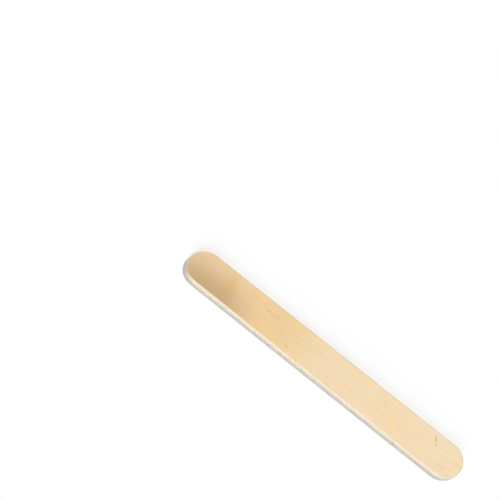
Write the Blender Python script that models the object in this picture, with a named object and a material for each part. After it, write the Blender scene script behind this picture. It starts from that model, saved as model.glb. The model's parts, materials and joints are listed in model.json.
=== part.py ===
"""A wooden tongue depressor: one flat birch blade with two full round ends and eased edges.

The blade lies flat, as it comes to rest: +X runs along it, +Z is up, and the origin is the
middle of its underside. All sizes are in metres.
"""

import math

import bpy

# The blade, as it is die-cut from rotary-cut veneer
BLADE_LENGTH = 0.150
BLADE_WIDTH = 0.018
BLADE_THICKNESS = 0.0018
# How far each rounded end reaches along the blade. Half the width makes it a full half-circle.
END_DEPTH = 0.009
# The radius that tumbling leaves on the edges between the faces and the cut side
EDGE_RADIUS = 0.0004

# How finely the round shapes are faceted
END_STEPS = 44
EDGE_ROUND_STEPS = 3

# The wood: pale, unfinished and polished only by tumbling
BIRCH_COLOUR = (0.871, 0.672, 0.423, 1.0)
BIRCH_ROUGHNESS = 0.5


def clear_scene():
    for thing in list(bpy.context.scene.objects):
        bpy.data.objects.remove(thing, do_unlink=True)


def make_collection(name):
    collection = bpy.data.collections.new(name)
    bpy.context.scene.collection.children.link(collection)
    return collection


def make_birch():
    material = bpy.data.materials.new("birch")
    material.use_nodes = True
    surface = material.node_tree.nodes["Principled BSDF"]
    surface.inputs["Base Color"].default_value = BIRCH_COLOUR
    surface.inputs["Roughness"].default_value = BIRCH_ROUGHNESS
    surface.inputs["Metallic"].default_value = 0.0
    return material


def face_outline():
    """The outline of the flat face: two round ends and the straight sides between them.

    It lies one edge radius inside the blade's own outline, because the edges roll off outside it.
    """
    half_width = BLADE_WIDTH / 2 - EDGE_RADIUS
    depth = END_DEPTH - EDGE_RADIUS
    end_centre = BLADE_LENGTH / 2 - END_DEPTH
    points = []
    for side in (1, -1):
        for step in range(END_STEPS + 1):
            angle = math.pi * (step / END_STEPS - 0.5)
            x = side * (end_centre + depth * math.cos(angle))
            y = side * half_width * math.sin(angle)
            points.append((x, y))
    return points


def make_blade(collection, wood):
    outline = face_outline()
    curve = bpy.data.curves.new("blade", "CURVE")
    curve.dimensions = "2D"
    curve.fill_mode = "BOTH"
    curve.extrude = BLADE_THICKNESS / 2 - EDGE_RADIUS
    curve.bevel_depth = EDGE_RADIUS
    curve.bevel_resolution = EDGE_ROUND_STEPS
    spline = curve.splines.new("POLY")
    spline.points.add(len(outline) - 1)
    for point, (x, y) in zip(spline.points, outline):
        point.co = (x, y, 0.0, 1.0)
    spline.use_cyclic_u = True
    curve.materials.append(wood)
    blade = bpy.data.objects.new("blade", curve)
    blade.location = (0.0, 0.0, BLADE_THICKNESS / 2)
    collection.objects.link(blade)
    return blade


def main():
    clear_scene()
    collection = make_collection("tongue_depressor")
    make_blade(collection, make_birch())


main()
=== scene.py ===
"""A wooden tongue depressor: one die-cut birch blade, lying on a white table in soft studio light.

The part's solid gives the blade its length, width and thickness. This script cuts the fine blade
that stands for it, finishes the wood, and sets the table, the light and the camera.
"""

import json
import math

import bmesh
import bpy
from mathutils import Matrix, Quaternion, Vector, noise

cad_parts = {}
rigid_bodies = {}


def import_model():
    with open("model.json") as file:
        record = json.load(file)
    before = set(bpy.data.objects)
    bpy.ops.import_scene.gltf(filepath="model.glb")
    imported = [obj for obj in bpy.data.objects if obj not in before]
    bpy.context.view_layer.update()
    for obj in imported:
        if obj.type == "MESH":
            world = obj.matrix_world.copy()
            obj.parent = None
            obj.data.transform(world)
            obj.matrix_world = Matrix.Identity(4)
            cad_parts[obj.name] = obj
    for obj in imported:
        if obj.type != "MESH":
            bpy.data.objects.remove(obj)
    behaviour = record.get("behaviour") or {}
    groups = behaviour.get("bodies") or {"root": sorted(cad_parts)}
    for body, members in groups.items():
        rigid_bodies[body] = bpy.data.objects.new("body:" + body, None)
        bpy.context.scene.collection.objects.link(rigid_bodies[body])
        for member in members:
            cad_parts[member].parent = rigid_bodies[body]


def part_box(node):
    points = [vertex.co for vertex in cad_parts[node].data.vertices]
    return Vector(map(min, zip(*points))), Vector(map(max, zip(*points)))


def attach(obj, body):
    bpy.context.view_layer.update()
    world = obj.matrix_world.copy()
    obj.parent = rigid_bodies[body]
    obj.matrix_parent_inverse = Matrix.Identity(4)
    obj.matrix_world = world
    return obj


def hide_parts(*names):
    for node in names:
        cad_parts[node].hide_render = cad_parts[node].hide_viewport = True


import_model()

bl_info = {
    "name": "Tongue depressor",
    "version": (1, 0, 0),
    "blender": (4, 5, 0),
    "location": "3D View > Sidebar > Depressor",
    "description": "Cuts a birch tongue depressor and sets a white table round it",
    "category": "Add Mesh",
}

MM = 0.001
BLADE_NODE = "blade"

LOW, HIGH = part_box(BLADE_NODE)
MIDDLE = (LOW + HIGH) / 2
LENGTH, WIDTH, THICKNESS = HIGH - LOW
HALF_LENGTH = LENGTH / 2
HALF_WIDTH = WIDTH / 2
END_CENTRE = HALF_LENGTH - HALF_WIDTH


def linear(code):
    """A colour written as six sRGB hex digits, as linear red, green and blue."""
    parts = [int(code[i:i + 2], 16) / 255 for i in (0, 2, 4)]
    return tuple(p / 12.92 if p <= 0.04045 else ((p + 0.055) / 1.055) ** 2.4 for p in parts)


def opaque(colour):
    return (*colour, 1.0)


def size_property(name, description, default_mm, least_mm=0.0):
    return bpy.props.FloatProperty(
        name=name, description=description, default=default_mm * MM, min=least_mm * MM, precision=6,
        unit="LENGTH", subtype="DISTANCE")


def colour_property(name, description, code):
    return bpy.props.FloatVectorProperty(
        name=name, description=description, default=linear(code), min=0.0, max=1.0, size=3, subtype="COLOR")


class BladeCut(bpy.types.PropertyGroup):
    """Sizes of the blade's cut edges and of the wood's relief."""

    edge_radius: size_property("Edge radius", "Rounding that tumbling leaves along both faces", 0.4, 0.05)
    end_segments: bpy.props.IntProperty(
        name="End segments", description="Edges round a quarter of each end", default=76, min=8, max=96)
    side_pitch: size_property("Side pitch", "Widest spacing of the mesh along the blade", 0.6, 0.2)
    edge_segments: bpy.props.IntProperty(
        name="Edge segments", description="Edges across the rounding", default=5, min=2, max=12)
    side_rows: bpy.props.IntProperty(
        name="Side rows", description="Rows of faces up the cut side", default=6, min=2, max=12)
    ridge_depth: size_property("Ridge depth", "Depth of the soft ridges along the grain", 0.014)
    fibre_depth: size_property("Fibre depth", "Depth of the fine fibre lines on the faces", 0.006)
    cut_depth: size_property("Cut roughness", "How deep the die tears the cut side on average", 0.012)


class BirchFinish(bpy.types.PropertyGroup):
    """Colours of the peeled and tumbled birch, with the painted highlight and painted shade along the rim
    and the painted shade and light at the far end.
    """

    near_colour: colour_property("Near half", "Face colour of the near half", "F1D8B1")
    middle_colour: colour_property("Golden part", "Face colour a third from the far end", "ECCA8F")
    far_colour: colour_property("Far end", "Face colour at the far end", "EACBA0")
    late_colour: colour_property("Latewood", "Darker lines where a year's growth stops", "D9B07A")
    pore_colour: colour_property("Pores", "Short pore lines cut lengthwise", "BF8F55")
    amber_colour: colour_property("Flecks", "Amber of the checks, ticks and specks", "B27C1E")
    gold_colour: colour_property("Gold", "Golden patches and streaks", "FFD078")
    # Painted shade: the golden brown laid over the far end, darkest towards its -Y corner.
    painted_shade_colour: colour_property("Stain", "Golden brown of the stained far end", "B08A52")
    # Painted shade: the grey laid along the rim, mostly on the +Y side.
    rim_shade_colour: colour_property("Worn rim", "Greyer wood along the tumbled rim", "D2C5B2")
    # Painted highlight: the pale cream of the rounded edge where it catches the light.
    edge_highlight_colour: colour_property("Rounded edge", "Wood that tumbling polished along both faces", "FFEED2")
    side_colour: colour_property("Cut side", "Fresh wood where the die cut it", "EFE3CB")
    end_colour: colour_property("End grain", "Open fibre ends round the tips", "E8DAC6")
    # Marks also sets the strength of the painted shade and the painted light band at the far end.
    marks: bpy.props.FloatProperty(
        name="Marks", description="Strength of the flecks, patches and stains", default=1.0, min=0.0,
        max=1.2, subtype="FACTOR")
    roughness: bpy.props.FloatProperty(
        name="Roughness", description="Satin left by tumbling", default=0.55, min=0.0, max=1.0,
        subtype="FACTOR")


class StudioStage(bpy.types.PropertyGroup):
    """The white table, its soft light and the camera's lens."""

    table_colour: colour_property("Table", "Colour of the table", "FFFFFF")
    key_level: bpy.props.FloatProperty(
        name="Key", description="Share of the table's light from behind the blade", default=0.575, min=0.0)
    fill_level: bpy.props.FloatProperty(
        name="Fill", description="Light from the front, square on to it", default=0.88, min=0.0)
    sky_level: bpy.props.FloatProperty(
        name="Sky", description="Even light from all round", default=0.18, min=0.0)
    lens: bpy.props.FloatProperty(
        name="Lens", description="Focal length of the camera", default=161.3, min=10.0, unit="CAMERA",
        subtype="DISTANCE_CAMERA")


# Marks on the top face: the finish colour that each takes, the place of its middle along and across the
# blade in mm, its half length and half width in mm, its turn from the blade's axis in degrees, and its
# strength.
MARKS = {
    "check": ("amber", (-33.0, 3.1), (2.0, 0.36), 0.0, 0.72),
    "check_tail": ("amber", (-29.1, 3.0), (3.0, 0.32), -3.0, 0.36),
    "tick_start": ("amber", (57.5, 6.1), (1.6, 0.70), -55.0, 0.17),
    "tick": ("amber", (58.3, 4.6), (1.8, 0.85), -57.0, 0.40),
    "tick_end": ("amber", (59.7, 2.7), (1.2, 0.75), -50.0, 0.27),
    "fleck": ("amber", (-17.2, -5.4), (1.6, 0.75), 5.0, 0.30),
    "speck_a": ("amber", (41.6, -6.5), (0.5, 0.42), 0.0, 0.32),
    "speck_b": ("amber", (32.5, 1.5), (0.6, 0.42), 0.0, 0.24),
    "speck_c": ("amber", (25.3, 5.2), (0.7, 0.45), 60.0, 0.20),
    "speck_d": ("amber", (59.1, -6.1), (0.5, 0.42), 0.0, 0.22),
    "speck_e": ("amber", (17.9, 3.5), (0.4, 0.35), 0.0, 0.18),
    "streak": ("gold", (38.3, -2.2), (6.4, 2.6), -53.0, 0.22),
    "streak_end": ("gold", (40.0, -4.9), (2.8, 2.0), -53.0, 0.20),
    "patch_a": ("gold", (21.0, 6.4), (2.4, 1.6), 0.0, 0.42),
    "patch_b": ("gold", (-39.0, 6.3), (3.8, 2.2), 10.0, 0.34),
    "patch_c": ("gold", (-11.6, -6.5), (6.5, 2.0), 0.0, 0.34),
    "patch_d": ("gold", (7.8, -7.1), (1.4, 1.1), 0.0, 0.34),
    "patch_e": ("gold", (33.2, 5.0), (4.5, 2.6), -50.0, 0.24),
    "patch_f": ("gold", (-33.2, -5.9), (12.0, 5.0), 0.0, 0.28),
    # Painted light: a golden band of bounced light and the shade's edge across the far end.
    "painted_light_band": ("gold", (-53.9, -0.5), (11.0, 6.0), 78.0, 0.42),
    # Painted shade over the far end, with a soft edge across the blade near x = -53 mm.
    "painted_shade_edge": ("painted_shade", (-53.0, -1.0), (6.0, 14.0), 8.0, 0.21),
    "painted_shade": ("painted_shade", (-63.0, -12.8), (37.0, 23.0), 5.0, 0.76),
}
# How far down into the wood a mark's colour reaches, in mm
MARK_REACH = 0.5
# The marks that are dented as well as coloured, with their depth in mm
DENTS = {"check": 0.02, "tick": 0.02, "tick_end": 0.01}
GRAIN_SLANT = math.radians(3.0)

# Where the painted rim shade and the cut side's colour begin and where they are full, in mm in from the
# outline
RIM_BORDER = (1.1, 0.45)
SIDE_BORDER = (0.62, 0.28)
# The fibres' noise lies mostly between these values, and a pore goes from its edge to its core.
FIBRES_LOW = 0.25
FIBRES_HIGH = 0.75
PORE_EDGE = 0.24
PORE_CORE = 0.08

# How the blade's edges and faces are told apart while it is cut: a direction counts as an axis's own from
# this cosine, a length counts as the expected one from this share, and places this close are the same.
SAME_WAY = 0.99
SAME_LENGTH = 0.9
TOUCHING = 0.001 * MM
SELECT_MODES = {"edges": "EDGE", "faces": "FACE"}


def deselect():
    for thing in bpy.context.view_layer.objects:
        thing.select_set(False)


def pick(blade, kind, wanted):
    """Selects the blade's edges or faces for which wanted(element) is true, in edit mode."""
    bpy.ops.mesh.select_mode(type=SELECT_MODES[kind])
    bpy.ops.mesh.select_all(action="DESELECT")
    mesh = bmesh.from_edit_mesh(blade.data)
    for element in getattr(mesh, kind):
        element.select_set(bool(wanted(element)))
    mesh.select_flush_mode()
    bmesh.update_edit_mesh(blade.data)


def middle(edge):
    return (edge.verts[0].co + edge.verts[1].co) / 2


def runs(edge, axis):
    """Whether an edge runs along the axis x, y or z."""
    direction = (edge.verts[1].co - edge.verts[0].co).normalized()
    return abs(getattr(direction, axis)) > SAME_WAY


def cut_form(cut):
    """The blade's plain form: a slab with two full round ends and one rounding along both faces."""
    deselect()
    bpy.ops.mesh.primitive_cube_add(size=1.0, location=MIDDLE, scale=(LENGTH, WIDTH, THICKNESS))
    blade = bpy.context.object
    blade.name = "birch_blade"
    blade.data.name = "birch_blade"
    bpy.ops.object.transform_apply(location=True, rotation=True, scale=True)
    bpy.ops.object.mode_set(mode="EDIT")

    # The round ends: each upright corner is rounded by half the width, so the two arcs meet at the tip.
    pick(blade, "edges", lambda e: runs(e, "z"))
    bpy.ops.mesh.bevel(offset=HALF_WIDTH, segments=cut.end_segments, profile=0.5, clamp_overlap=False)
    bpy.ops.mesh.select_all(action="SELECT")
    bpy.ops.mesh.remove_doubles(threshold=TOUCHING)

    # The rounding along both faces, then an even pitch down the long sides and rows up the cut side
    pick(blade, "edges", lambda e: not runs(e, "z"))
    bpy.ops.mesh.bevel(offset=cut.edge_radius, segments=cut.edge_segments, profile=0.5)
    pick(blade, "faces", lambda f: abs(f.normal.z) > SAME_WAY and len(f.verts) > 4)
    bpy.ops.mesh.delete(type="ONLY_FACE")
    pitch = 2 * END_CENTRE
    while pitch > cut.side_pitch:
        pick(blade, "edges", lambda e: runs(e, "x") and e.calc_length() > SAME_LENGTH * pitch)
        bpy.ops.mesh.subdivide()
        pitch /= 2
    side_height = THICKNESS - 2 * cut.edge_radius
    pick(blade, "edges", lambda e: runs(e, "z") and e.calc_length() > SAME_LENGTH * side_height)
    bpy.ops.mesh.subdivide(number_cuts=cut.side_rows - 1)

    # Both faces are filled with a grid whose corners lie half way round the ends.
    corner = END_CENTRE + (HALF_WIDTH - cut.edge_radius) * math.cos(math.radians(45.0))
    for level in (LOW.z, HIGH.z):
        pick(blade, "edges", lambda e: e.is_boundary and abs(middle(e).z - level) < TOUCHING
             and abs(middle(e).x) > corner)
        bpy.ops.mesh.fill_grid()
    bpy.ops.mesh.select_all(action="SELECT")
    bpy.ops.mesh.normals_make_consistent(inside=False)
    bpy.ops.object.mode_set(mode="OBJECT")
    bpy.ops.object.shade_smooth()
    return blade


def ripple(x, y, z, long_mm, wide_mm):
    """Soft noise from 0 to 1, drawn out along the slanted grain, for a place in mm."""
    u = x * math.cos(GRAIN_SLANT) + y * math.sin(GRAIN_SLANT)
    v = y * math.cos(GRAIN_SLANT) - x * math.sin(GRAIN_SLANT)
    return 0.5 + 0.5 * noise.noise(Vector((u / long_mm, v / wide_mm, z / wide_mm)))


def dent(x, y):
    """Depth of the dented marks at a place on the top face, in mm."""
    depth = 0.0
    for name, most in DENTS.items():
        _, (mark_x, mark_y), (half_long, half_wide), turn, _ = MARKS[name]
        slope = math.radians(turn)
        u = ((x - mark_x) * math.cos(slope) + (y - mark_y) * math.sin(slope)) / half_long
        v = ((y - mark_y) * math.cos(slope) - (x - mark_x) * math.sin(slope)) / half_wide
        depth += most * max(0.0, 1.0 - u * u - v * v)
    return depth


def wear_surface(blade, cut):
    """Moves each point inwards by the wood's own relief, so the blade never leaves the solid's box."""
    mesh = blade.data
    shade_reach = []
    for vertex in mesh.vertices:
        x, y, z = vertex.co / MM
        normal = vertex.normal
        face_share = abs(normal.z)
        ridge = (ripple(x, y, z, long_mm=34.0, wide_mm=1.5) * cut.ridge_depth
                 + ripple(x, y, z, long_mm=12.0, wide_mm=0.5) * cut.fibre_depth)
        tear = (ripple(x, y, z, long_mm=3.0, wide_mm=0.6)
                + ripple(x, y, z, long_mm=14.0, wide_mm=3.0)) * cut.cut_depth
        inward = face_share * ridge + (1.0 - face_share) * tear
        if normal.z > 0.5:
            inward += dent(x, y) * MM
        shade_reach.append(vertex.co - normal * inward)
    for vertex, place in zip(mesh.vertices, shade_reach):
        vertex.co = place
    mesh.update()


def add(tree, kind, inputs=None, out=0, **settings):
    """Adds a node with its settings, links or sets its inputs, and gives one of its outputs.

    A socket goes by its name, or by its number where several of a node's sockets have the same name.
    """
    node = tree.nodes.new("ShaderNode" + kind)
    for name, value in settings.items():
        setattr(node, name, value)
    for socket, value in (inputs or {}).items():
        if isinstance(value, bpy.types.NodeSocket):
            tree.links.new(value, node.inputs[socket])
        else:
            node.inputs[socket].default_value = value
    return node.outputs[out] if node.outputs else None


def empty_material(name):
    material = bpy.data.materials.new(name)
    material.use_nodes = True
    material.node_tree.nodes.clear()
    return material, material.node_tree


def lay_over(tree, colour, over, pattern, start, full, most):
    """Lays a colour over another as the pattern goes from start to full, up to a share of most."""
    share = add(tree, "MapRange", {"Value": pattern, "From Min": start, "From Max": full, "To Max": most},
                interpolation_type="SMOOTHSTEP")
    return add(tree, "Mix", {0: share, 6: colour, 7: over}, out=2, data_type="RGBA")


def along_grain(tree, place, long_mm, wide_mm):
    """Coordinates whose unit is long_mm down the slanted grain and wide_mm across it."""
    return add(tree, "Mapping", {"Vector": place, "Rotation": (0.0, 0.0, GRAIN_SLANT),
                                 "Scale": (long_mm * MM, wide_mm * MM, wide_mm * MM)}, vector_type="TEXTURE")


def streaks(tree, place, long_mm, wide_mm, detail, distortion=0.0):
    """Soft noise from 0 to 1 whose features run along the grain."""
    return add(tree, "TexNoise", {"Vector": along_grain(tree, place, long_mm, wide_mm), "Scale": 1.0,
                                  "Detail": detail, "Distortion": distortion})


def dashes(tree, place, long_mm, wide_mm):
    """Separate spindles along the grain: how far the middle of one is, and its own chance from 0 to 1."""
    cells = add(tree, "TexVoronoi", {"Vector": along_grain(tree, place, long_mm, wide_mm), "Scale": 1.0})
    return cells, add(tree, "SeparateColor", {"Color": cells.node.outputs["Color"]})


def from_mark(tree, place, middle_mm, half_mm, turn):
    """Distance from the middle of one mark on the top face, 1 being its oval's edge."""
    (x, y), (half_long, half_wide) = middle_mm, half_mm
    local = add(tree, "Mapping", {"Vector": place, "Location": (x * MM, y * MM, HIGH.z),
                                  "Rotation": (0.0, 0.0, math.radians(turn)),
                                  "Scale": (half_long * MM, half_wide * MM, MARK_REACH * MM)},
                vector_type="TEXTURE")
    return add(tree, "VectorMath", {0: local}, out="Value", operation="LENGTH")


def borders(tree, x, y, fibres):
    """How far a point lies past the straight part, and how far it lies from the blade's middle line.

    Past the straight part, the second is the distance from the end's centre. The fibres break away
    unevenly, so every border that follows it is ragged.
    """
    past = add(tree, "Math", {0: x}, operation="ABSOLUTE")
    past = add(tree, "Math", {0: past, 1: END_CENTRE}, operation="SUBTRACT")
    past = add(tree, "Math", {0: past, 1: 0.0}, operation="MAXIMUM")
    flat = add(tree, "CombineXYZ", {"X": past, "Y": y})
    from_middle = add(tree, "VectorMath", {0: flat}, out="Value", operation="LENGTH")
    break_away = add(tree, "MapRange", {"Value": fibres, "From Min": FIBRES_LOW, "From Max": FIBRES_HIGH,
                                        "To Min": -0.06 * MM, "To Max": 0.06 * MM})
    return past, add(tree, "Math", {0: from_middle, 1: break_away}, operation="ADD")


def drift_tone(tree, x, finish):
    """The wood's own tone: pale down the near half, golden a third from the far end, pinker beyond."""
    down_blade = add(tree, "MapRange", {"Value": x, "From Min": -HALF_LENGTH, "From Max": HALF_LENGTH})
    drift = add(tree, "ValToRGB", {"Fac": down_blade})
    ramp = drift.node.color_ramp
    ramp.elements.new(0.5)
    tones = ((0.09, finish.far_colour), (0.34, finish.middle_colour), (0.49, finish.near_colour))
    for element, (position, tone) in zip(ramp.elements, tones):
        element.position = position
        element.color = opaque(tone)
    return drift


def lay_growth(tree, colour, place, late):
    """Growth rings, peeled at a low angle, show as contours a few millimetres apart."""
    growth = streaks(tree, place, long_mm=90.0, wide_mm=9.0, detail=1.0, distortion=0.3)
    years = add(tree, "Math", {0: growth, 1: 6.0}, operation="MULTIPLY")
    rings = add(tree, "Math", {0: years, 1: 0.5}, operation="PINGPONG")
    return lay_over(tree, colour, late, rings, start=0.32, full=0.50, most=0.11)


def short_pores(tree, place):
    """Pore lines: a distance that is least down the middle of each. Some lie deeper than others.

    Birch pores are 0.05 to 0.1 mm wide, and 1 to 3 mm long where they are cut lengthwise.
    """
    lines, chance = dashes(tree, place, long_mm=3.2, wide_mm=0.36)
    shallow = add(tree, "MapRange", {"Value": chance, "To Min": 0.0, "To Max": 0.14})
    return add(tree, "Math", {0: lines, 1: shallow}, operation="ADD")


def lay_flecks(tree, colour, place, z, amber):
    """A few amber flecks, a millimetre or two long, on the face that lies down."""
    flecks, chance = dashes(tree, place, long_mm=11.0, wide_mm=4.5)
    missing = add(tree, "MapRange", {"Value": chance, "From Min": 0.80, "From Max": 0.82,
                                     "To Min": 1.0, "To Max": 0.0})
    above = add(tree, "MapRange", {"Value": z, "From Min": LOW.z + 0.2 * THICKNESS,
                                   "From Max": LOW.z + 0.3 * THICKNESS})
    missing = add(tree, "Math", {0: missing, 1: above}, operation="ADD")
    flecks = add(tree, "Math", {0: flecks, 1: missing}, operation="ADD")
    return lay_over(tree, colour, amber, flecks, start=0.12, full=0.05, most=0.35)


def lay_marks(tree, colour, place, fibres, finish):
    """The marks of the top face, with the painted shade of the far end. They follow the fibres, so their
    edges are ragged, the painted shade's least.
    """
    kinds = {"amber": (finish.amber_colour, 0.25), "gold": (finish.gold_colour, 0.18),
             "painted_shade": (finish.painted_shade_colour, 0.07)}
    ragged = add(tree, "MapRange", {"Value": fibres, "From Min": FIBRES_LOW, "From Max": FIBRES_HIGH,
                                    "To Min": -1.0, "To Max": 1.0})
    for kind, middle_mm, half_mm, turn, strength in MARKS.values():
        tone, raggedness = kinds[kind]
        distance = from_mark(tree, place, middle_mm, half_mm, turn)
        distance = add(tree, "Math", {0: ragged, 1: raggedness, 2: distance}, operation="MULTIPLY_ADD")
        colour = lay_over(tree, colour, opaque(tone), distance, start=1.0, full=0.15,
                          most=strength * finish.marks)
    return colour


def lay_rim_shade(tree, colour, y, from_middle, clouds, grey):
    """Painted shade: greys the last millimetre of the faces unevenly, most along the +Y side and hardly at
    all on the -Y side.
    """
    uneven = add(tree, "MapRange", {"Value": clouds, "From Min": 0.35, "From Max": 0.65,
                                    "To Min": -0.15 * MM, "To Max": 0.15 * MM})
    lit_side_offset = add(tree, "MapRange", {"Value": y, "From Min": -0.8 * HALF_WIDTH, "From Max": 0.0,
                                    "To Min": -1.0 * MM, "To Max": 0.0})
    shade_reach = add(tree, "Math", {0: from_middle, 1: uneven}, operation="ADD")
    shade_reach = add(tree, "Math", {0: shade_reach, 1: lit_side_offset}, operation="ADD")
    start, full = (HALF_WIDTH - inset * MM for inset in RIM_BORDER)
    return lay_over(tree, colour, grey, shade_reach, start, full, most=0.55)


def cut_side(tree, y, z, past, splits, dots, finish):
    """Colour of the cut side: pale wood, a paler rounding with a painted highlight, and end grain round the
    tips.
    """
    from_core = add(tree, "Math", {0: z, 1: MIDDLE.z}, operation="SUBTRACT")
    from_core = add(tree, "Math", {0: from_core}, operation="ABSOLUTE")
    # The rounding's painted highlight on the -Y side turns to painted shade towards +Y, as the rim does.
    rounding = lay_over(tree, opaque(finish.edge_highlight_colour), opaque(finish.rim_shade_colour), y, start=0.0,
                        full=HALF_WIDTH, most=0.7)
    side = lay_over(tree, opaque(finish.side_colour), rounding, from_core, start=0.20 * THICKNESS,
                    full=0.42 * THICKNESS, most=1.0)
    side = lay_over(tree, side, opaque(finish.late_colour), splits, start=0.42, full=0.75, most=0.26)
    ends = lay_over(tree, opaque(finish.end_colour), opaque(finish.pore_colour), dots, start=0.48, full=0.80,
                    most=0.28)
    return lay_over(tree, side, ends, past, start=0.15 * HALF_WIDTH, full=0.6 * HALF_WIDTH, most=1.0)


def make_birch(finish):
    """Birch, rotary-cut veneer, die-cut and tumbled.

    Peeling shows the growth rings as wide faint contours with very fine fibre lines and short pores.
    Tumbling leaves a pale, even satin with no varnish, and the die leaves a paler, rougher cut side.
    """
    material, tree = empty_material("birch_veneer_tumbled")
    late, gold = opaque(finish.late_colour), opaque(finish.gold_colour)
    place = add(tree, "TexCoord", out="Object")
    x, y, z = add(tree, "SeparateXYZ", {"Vector": place}).node.outputs

    # Sapwood and heartwood run in soft golden clouds along the grain.
    clouds = streaks(tree, place, long_mm=30.0, wide_mm=6.0, detail=2.0)
    # Fibres are about 0.02 mm wide. They are drawn ten times as wide, so that they show at all.
    fibres = streaks(tree, place, long_mm=9.0, wide_mm=0.22, detail=3.0)
    pores = short_pores(tree, place)
    # On the cut side bundles of fibres split along the blade, and round the tips the open pores are fine
    # dots. Both are drawn about twice as wide as they are, to show.
    splits = streaks(tree, place, long_mm=4.0, wide_mm=0.12, detail=3.0)
    dots = streaks(tree, place, long_mm=0.16, wide_mm=0.12, detail=1.0)
    past, from_middle = borders(tree, x, y, fibres)

    face = drift_tone(tree, x, finish)
    face = lay_over(tree, face, gold, clouds, start=0.45, full=0.75, most=0.16)
    face = lay_growth(tree, face, place, late)
    face = lay_over(tree, face, late, fibres, start=0.45, full=0.78, most=0.26)
    face = lay_over(tree, face, opaque(finish.pore_colour), pores, start=PORE_EDGE, full=PORE_CORE,
                    most=0.34)
    face = lay_flecks(tree, face, place, z, opaque(finish.amber_colour))
    face = lay_marks(tree, face, place, fibres, finish)
    # Painted shade along the rim, mostly on the +Y side.
    face = lay_rim_shade(tree, face, y, from_middle, clouds, opaque(finish.rim_shade_colour))
    side = cut_side(tree, y, z, past, splits, dots, finish)
    start, full = (HALF_WIDTH - inset * MM for inset in SIDE_BORDER)
    on_side = add(tree, "MapRange", {"Value": from_middle, "From Min": start, "From Max": full},
                  interpolation_type="SMOOTHSTEP")
    colour = add(tree, "Mix", {0: on_side, 6: face, 7: side}, out=2, data_type="RGBA")

    # The faces are a smooth satin with shallow fibres and pores. The cut side is rougher and more open.
    satin = add(tree, "MapRange", {"Value": fibres, "From Min": 0.3, "From Max": 0.7,
                                   "To Min": -0.05, "To Max": 0.05})
    satin = add(tree, "Math", {0: satin, 1: finish.roughness}, operation="ADD")
    satin = add(tree, "Math", {0: on_side, 1: 0.2, 2: satin}, operation="MULTIPLY_ADD")
    sunk = add(tree, "MapRange", {"Value": pores, "From Min": PORE_EDGE, "From Max": PORE_CORE,
                                  "To Min": 0.0, "To Max": -0.6})
    smooth = add(tree, "Math", {0: fibres, 1: sunk}, operation="ADD")
    torn = add(tree, "Math", {0: splits, 1: 2.5, 2: dots}, operation="MULTIPLY_ADD")
    relief = add(tree, "Mix", {0: on_side, 2: smooth, 3: torn}, data_type="FLOAT")
    bump = add(tree, "Bump", {"Strength": 0.35, "Distance": 0.02 * MM, "Height": relief})
    surface = add(tree, "BsdfPrincipled", {"Base Color": colour, "Roughness": satin, "IOR": 1.5,
                                           "Normal": bump})
    add(tree, "OutputMaterial", {"Surface": surface})
    return material


class CutBlade(bpy.types.Operator):
    """Cut the birch blade to the solid's size, wear its surface and finish the wood"""

    bl_idname = "depressor.cut_blade"
    bl_label = "Cut blade"
    bl_options = {"REGISTER", "UNDO"}

    def execute(self, context):
        cut = context.scene.depressor_cut
        if 2 * cut.edge_radius >= THICKNESS:
            raise ValueError("The edge radius is half the blade's thickness or more")
        blade = cut_form(cut)
        wear_surface(blade, cut)
        blade.data.materials.append(make_birch(context.scene.depressor_finish))
        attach(blade, "root")
        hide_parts(BLADE_NODE)
        return {"FINISHED"}


# The camera, in metres from the blade's middle: where it stands, the point of the table at the middle
# of its picture, and how far it is rolled from level. Its sensor's width is in mm.
CAMERA_PLACE = Vector((0.0716, -0.5308, 0.8134))
CAMERA_AIM = Vector((-0.0579, 0.0233, 0.0))
CAMERA_ROLL = math.radians(27.568)
SENSOR_WIDTH = 36.0

# The table's size, the gap that keeps it clear of the blade's underside, and the share of its own colour
# that it adds where the camera sees it
TABLE_SIZE = 6.0
TABLE_GAP = 0.02 * MM
TABLE_LIFT = 0.07

# Directions towards the lamps, and how wide each looks from the blade, in degrees
KEY_FROM = Vector((0.20, 0.85, 0.83))
KEY_WIDTH = 9.0
FILL_FROM = Vector((0.30, -0.90, 0.17))
FILL_WIDTH = 50.0


def make_laminate(colour):
    """Matt white laminate. It keeps shadows, and where nothing shades it the camera sees plain white."""
    material, tree = empty_material("laminate_matt_white")
    matt = add(tree, "BsdfDiffuse", {"Color": opaque(colour)})
    seen = add(tree, "LightPath", out="Is Camera Ray")
    strength = add(tree, "Math", {0: seen, 1: TABLE_LIFT}, operation="MULTIPLY")
    lift = add(tree, "Emission", {"Color": opaque(colour), "Strength": strength})
    both = add(tree, "AddShader", {0: matt, 1: lift})
    add(tree, "OutputMaterial", {"Surface": both})
    return material


def add_lamp(name, towards, width, level):
    """A broad lamp. A level of 1 shows the colours of a surface square on to it as they are written."""
    lamp = bpy.data.lights.new(name, "SUN")
    lamp.energy = level * math.pi
    lamp.angle = math.radians(width)
    holder = bpy.data.objects.new(name, lamp)
    holder.rotation_mode = "QUATERNION"
    holder.rotation_quaternion = towards.to_track_quat("Z", "Y")
    bpy.context.scene.collection.objects.link(holder)


def light_room(level):
    """Even light on the blade, and plain white wherever the camera or a reflection sees past the table."""
    world = bpy.data.worlds.new("studio")
    world.use_nodes = True
    tree = world.node_tree
    tree.nodes.clear()
    path = add(tree, "LightPath").node.outputs
    seen = add(tree, "Math", {0: path["Is Camera Ray"], 1: path["Is Glossy Ray"]}, operation="MAXIMUM")
    seen = add(tree, "Math", {0: seen, 1: path["Is Transmission Ray"]}, operation="MAXIMUM")
    strength = add(tree, "MapRange", {"Value": seen, "To Min": level, "To Max": 1.0})
    sky = add(tree, "Background", {"Color": (1.0, 1.0, 1.0, 1.0), "Strength": strength})
    add(tree, "OutputWorld", {"Surface": sky})
    bpy.context.scene.world = world


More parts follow.
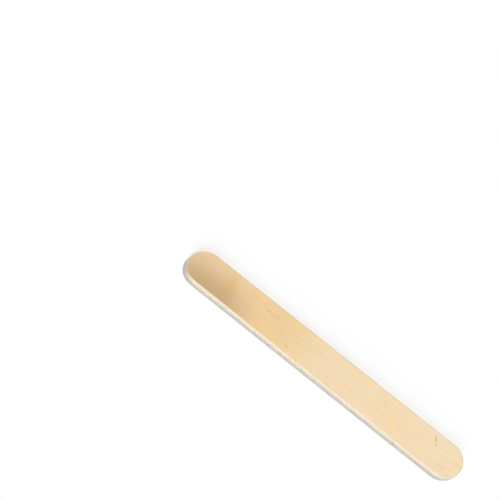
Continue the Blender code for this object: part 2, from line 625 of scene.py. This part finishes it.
def place_camera(lens):
    """Stands the camera over the blade's near side, rolled so that the blade runs down to the right."""
    data = bpy.data.cameras.new("camera")
    data.lens = lens
    data.sensor_width = SENSOR_WIDTH
    camera = bpy.data.objects.new("camera", data)
    camera.location = CAMERA_PLACE
    level = (CAMERA_AIM - CAMERA_PLACE).to_track_quat("-Z", "Y")
    camera.rotation_mode = "QUATERNION"
    camera.rotation_quaternion = level @ Quaternion((0.0, 0.0, 1.0), CAMERA_ROLL)
    bpy.context.scene.collection.objects.link(camera)
    bpy.context.scene.camera = camera


class SetStage(bpy.types.Operator):
    """Lay the white table, light it softly and place the camera"""

    bl_idname = "depressor.set_stage"
    bl_label = "Set stage"
    bl_options = {"REGISTER", "UNDO"}

    def execute(self, context):
        stage = context.scene.depressor_stage
        deselect()
        bpy.ops.mesh.primitive_plane_add(size=TABLE_SIZE, location=(0.0, 0.0, LOW.z - TABLE_GAP))
        table = context.object
        table.name = "table"
        table.data.materials.append(make_laminate(stage.table_colour))
        key_height = KEY_FROM.normalized().z
        add_lamp("key", KEY_FROM, KEY_WIDTH, stage.key_level / key_height)
        add_lamp("fill", FILL_FROM, FILL_WIDTH, stage.fill_level)
        light_room(stage.sky_level)
        place_camera(stage.lens)
        context.scene.view_settings.view_transform = "Standard"
        return {"FINISHED"}


class DepressorPanel(bpy.types.Panel):
    """The blade and its stage, with their sizes and colours"""

    bl_idname = "VIEW3D_PT_depressor"
    bl_label = "Tongue depressor"
    bl_space_type = "VIEW_3D"
    bl_region_type = "UI"
    bl_category = "Depressor"

    def draw(self, context):
        scene = context.scene
        steps = {CutBlade: (scene.depressor_cut, scene.depressor_finish), SetStage: (scene.depressor_stage,)}
        for step, groups in steps.items():
            box = self.layout.box()
            for group in groups:
                for name in group.__annotations__:
                    box.prop(group, name)
            box.operator(step.bl_idname)


CLASSES = (BladeCut, BirchFinish, StudioStage, CutBlade, SetStage, DepressorPanel)
GROUPS = {"depressor_cut": BladeCut, "depressor_finish": BirchFinish, "depressor_stage": StudioStage}


def register():
    for cls in CLASSES:
        bpy.utils.register_class(cls)
    for name, group in GROUPS.items():
        setattr(bpy.types.Scene, name, bpy.props.PointerProperty(type=group))


def unregister():
    for name in GROUPS:
        delattr(bpy.types.Scene, name)
    for cls in reversed(CLASSES):
        bpy.utils.unregister_class(cls)


def main():
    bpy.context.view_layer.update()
    register()
    bpy.ops.depressor.cut_blade()
    bpy.ops.depressor.set_stage()


if __name__ == "__main__":
    main()
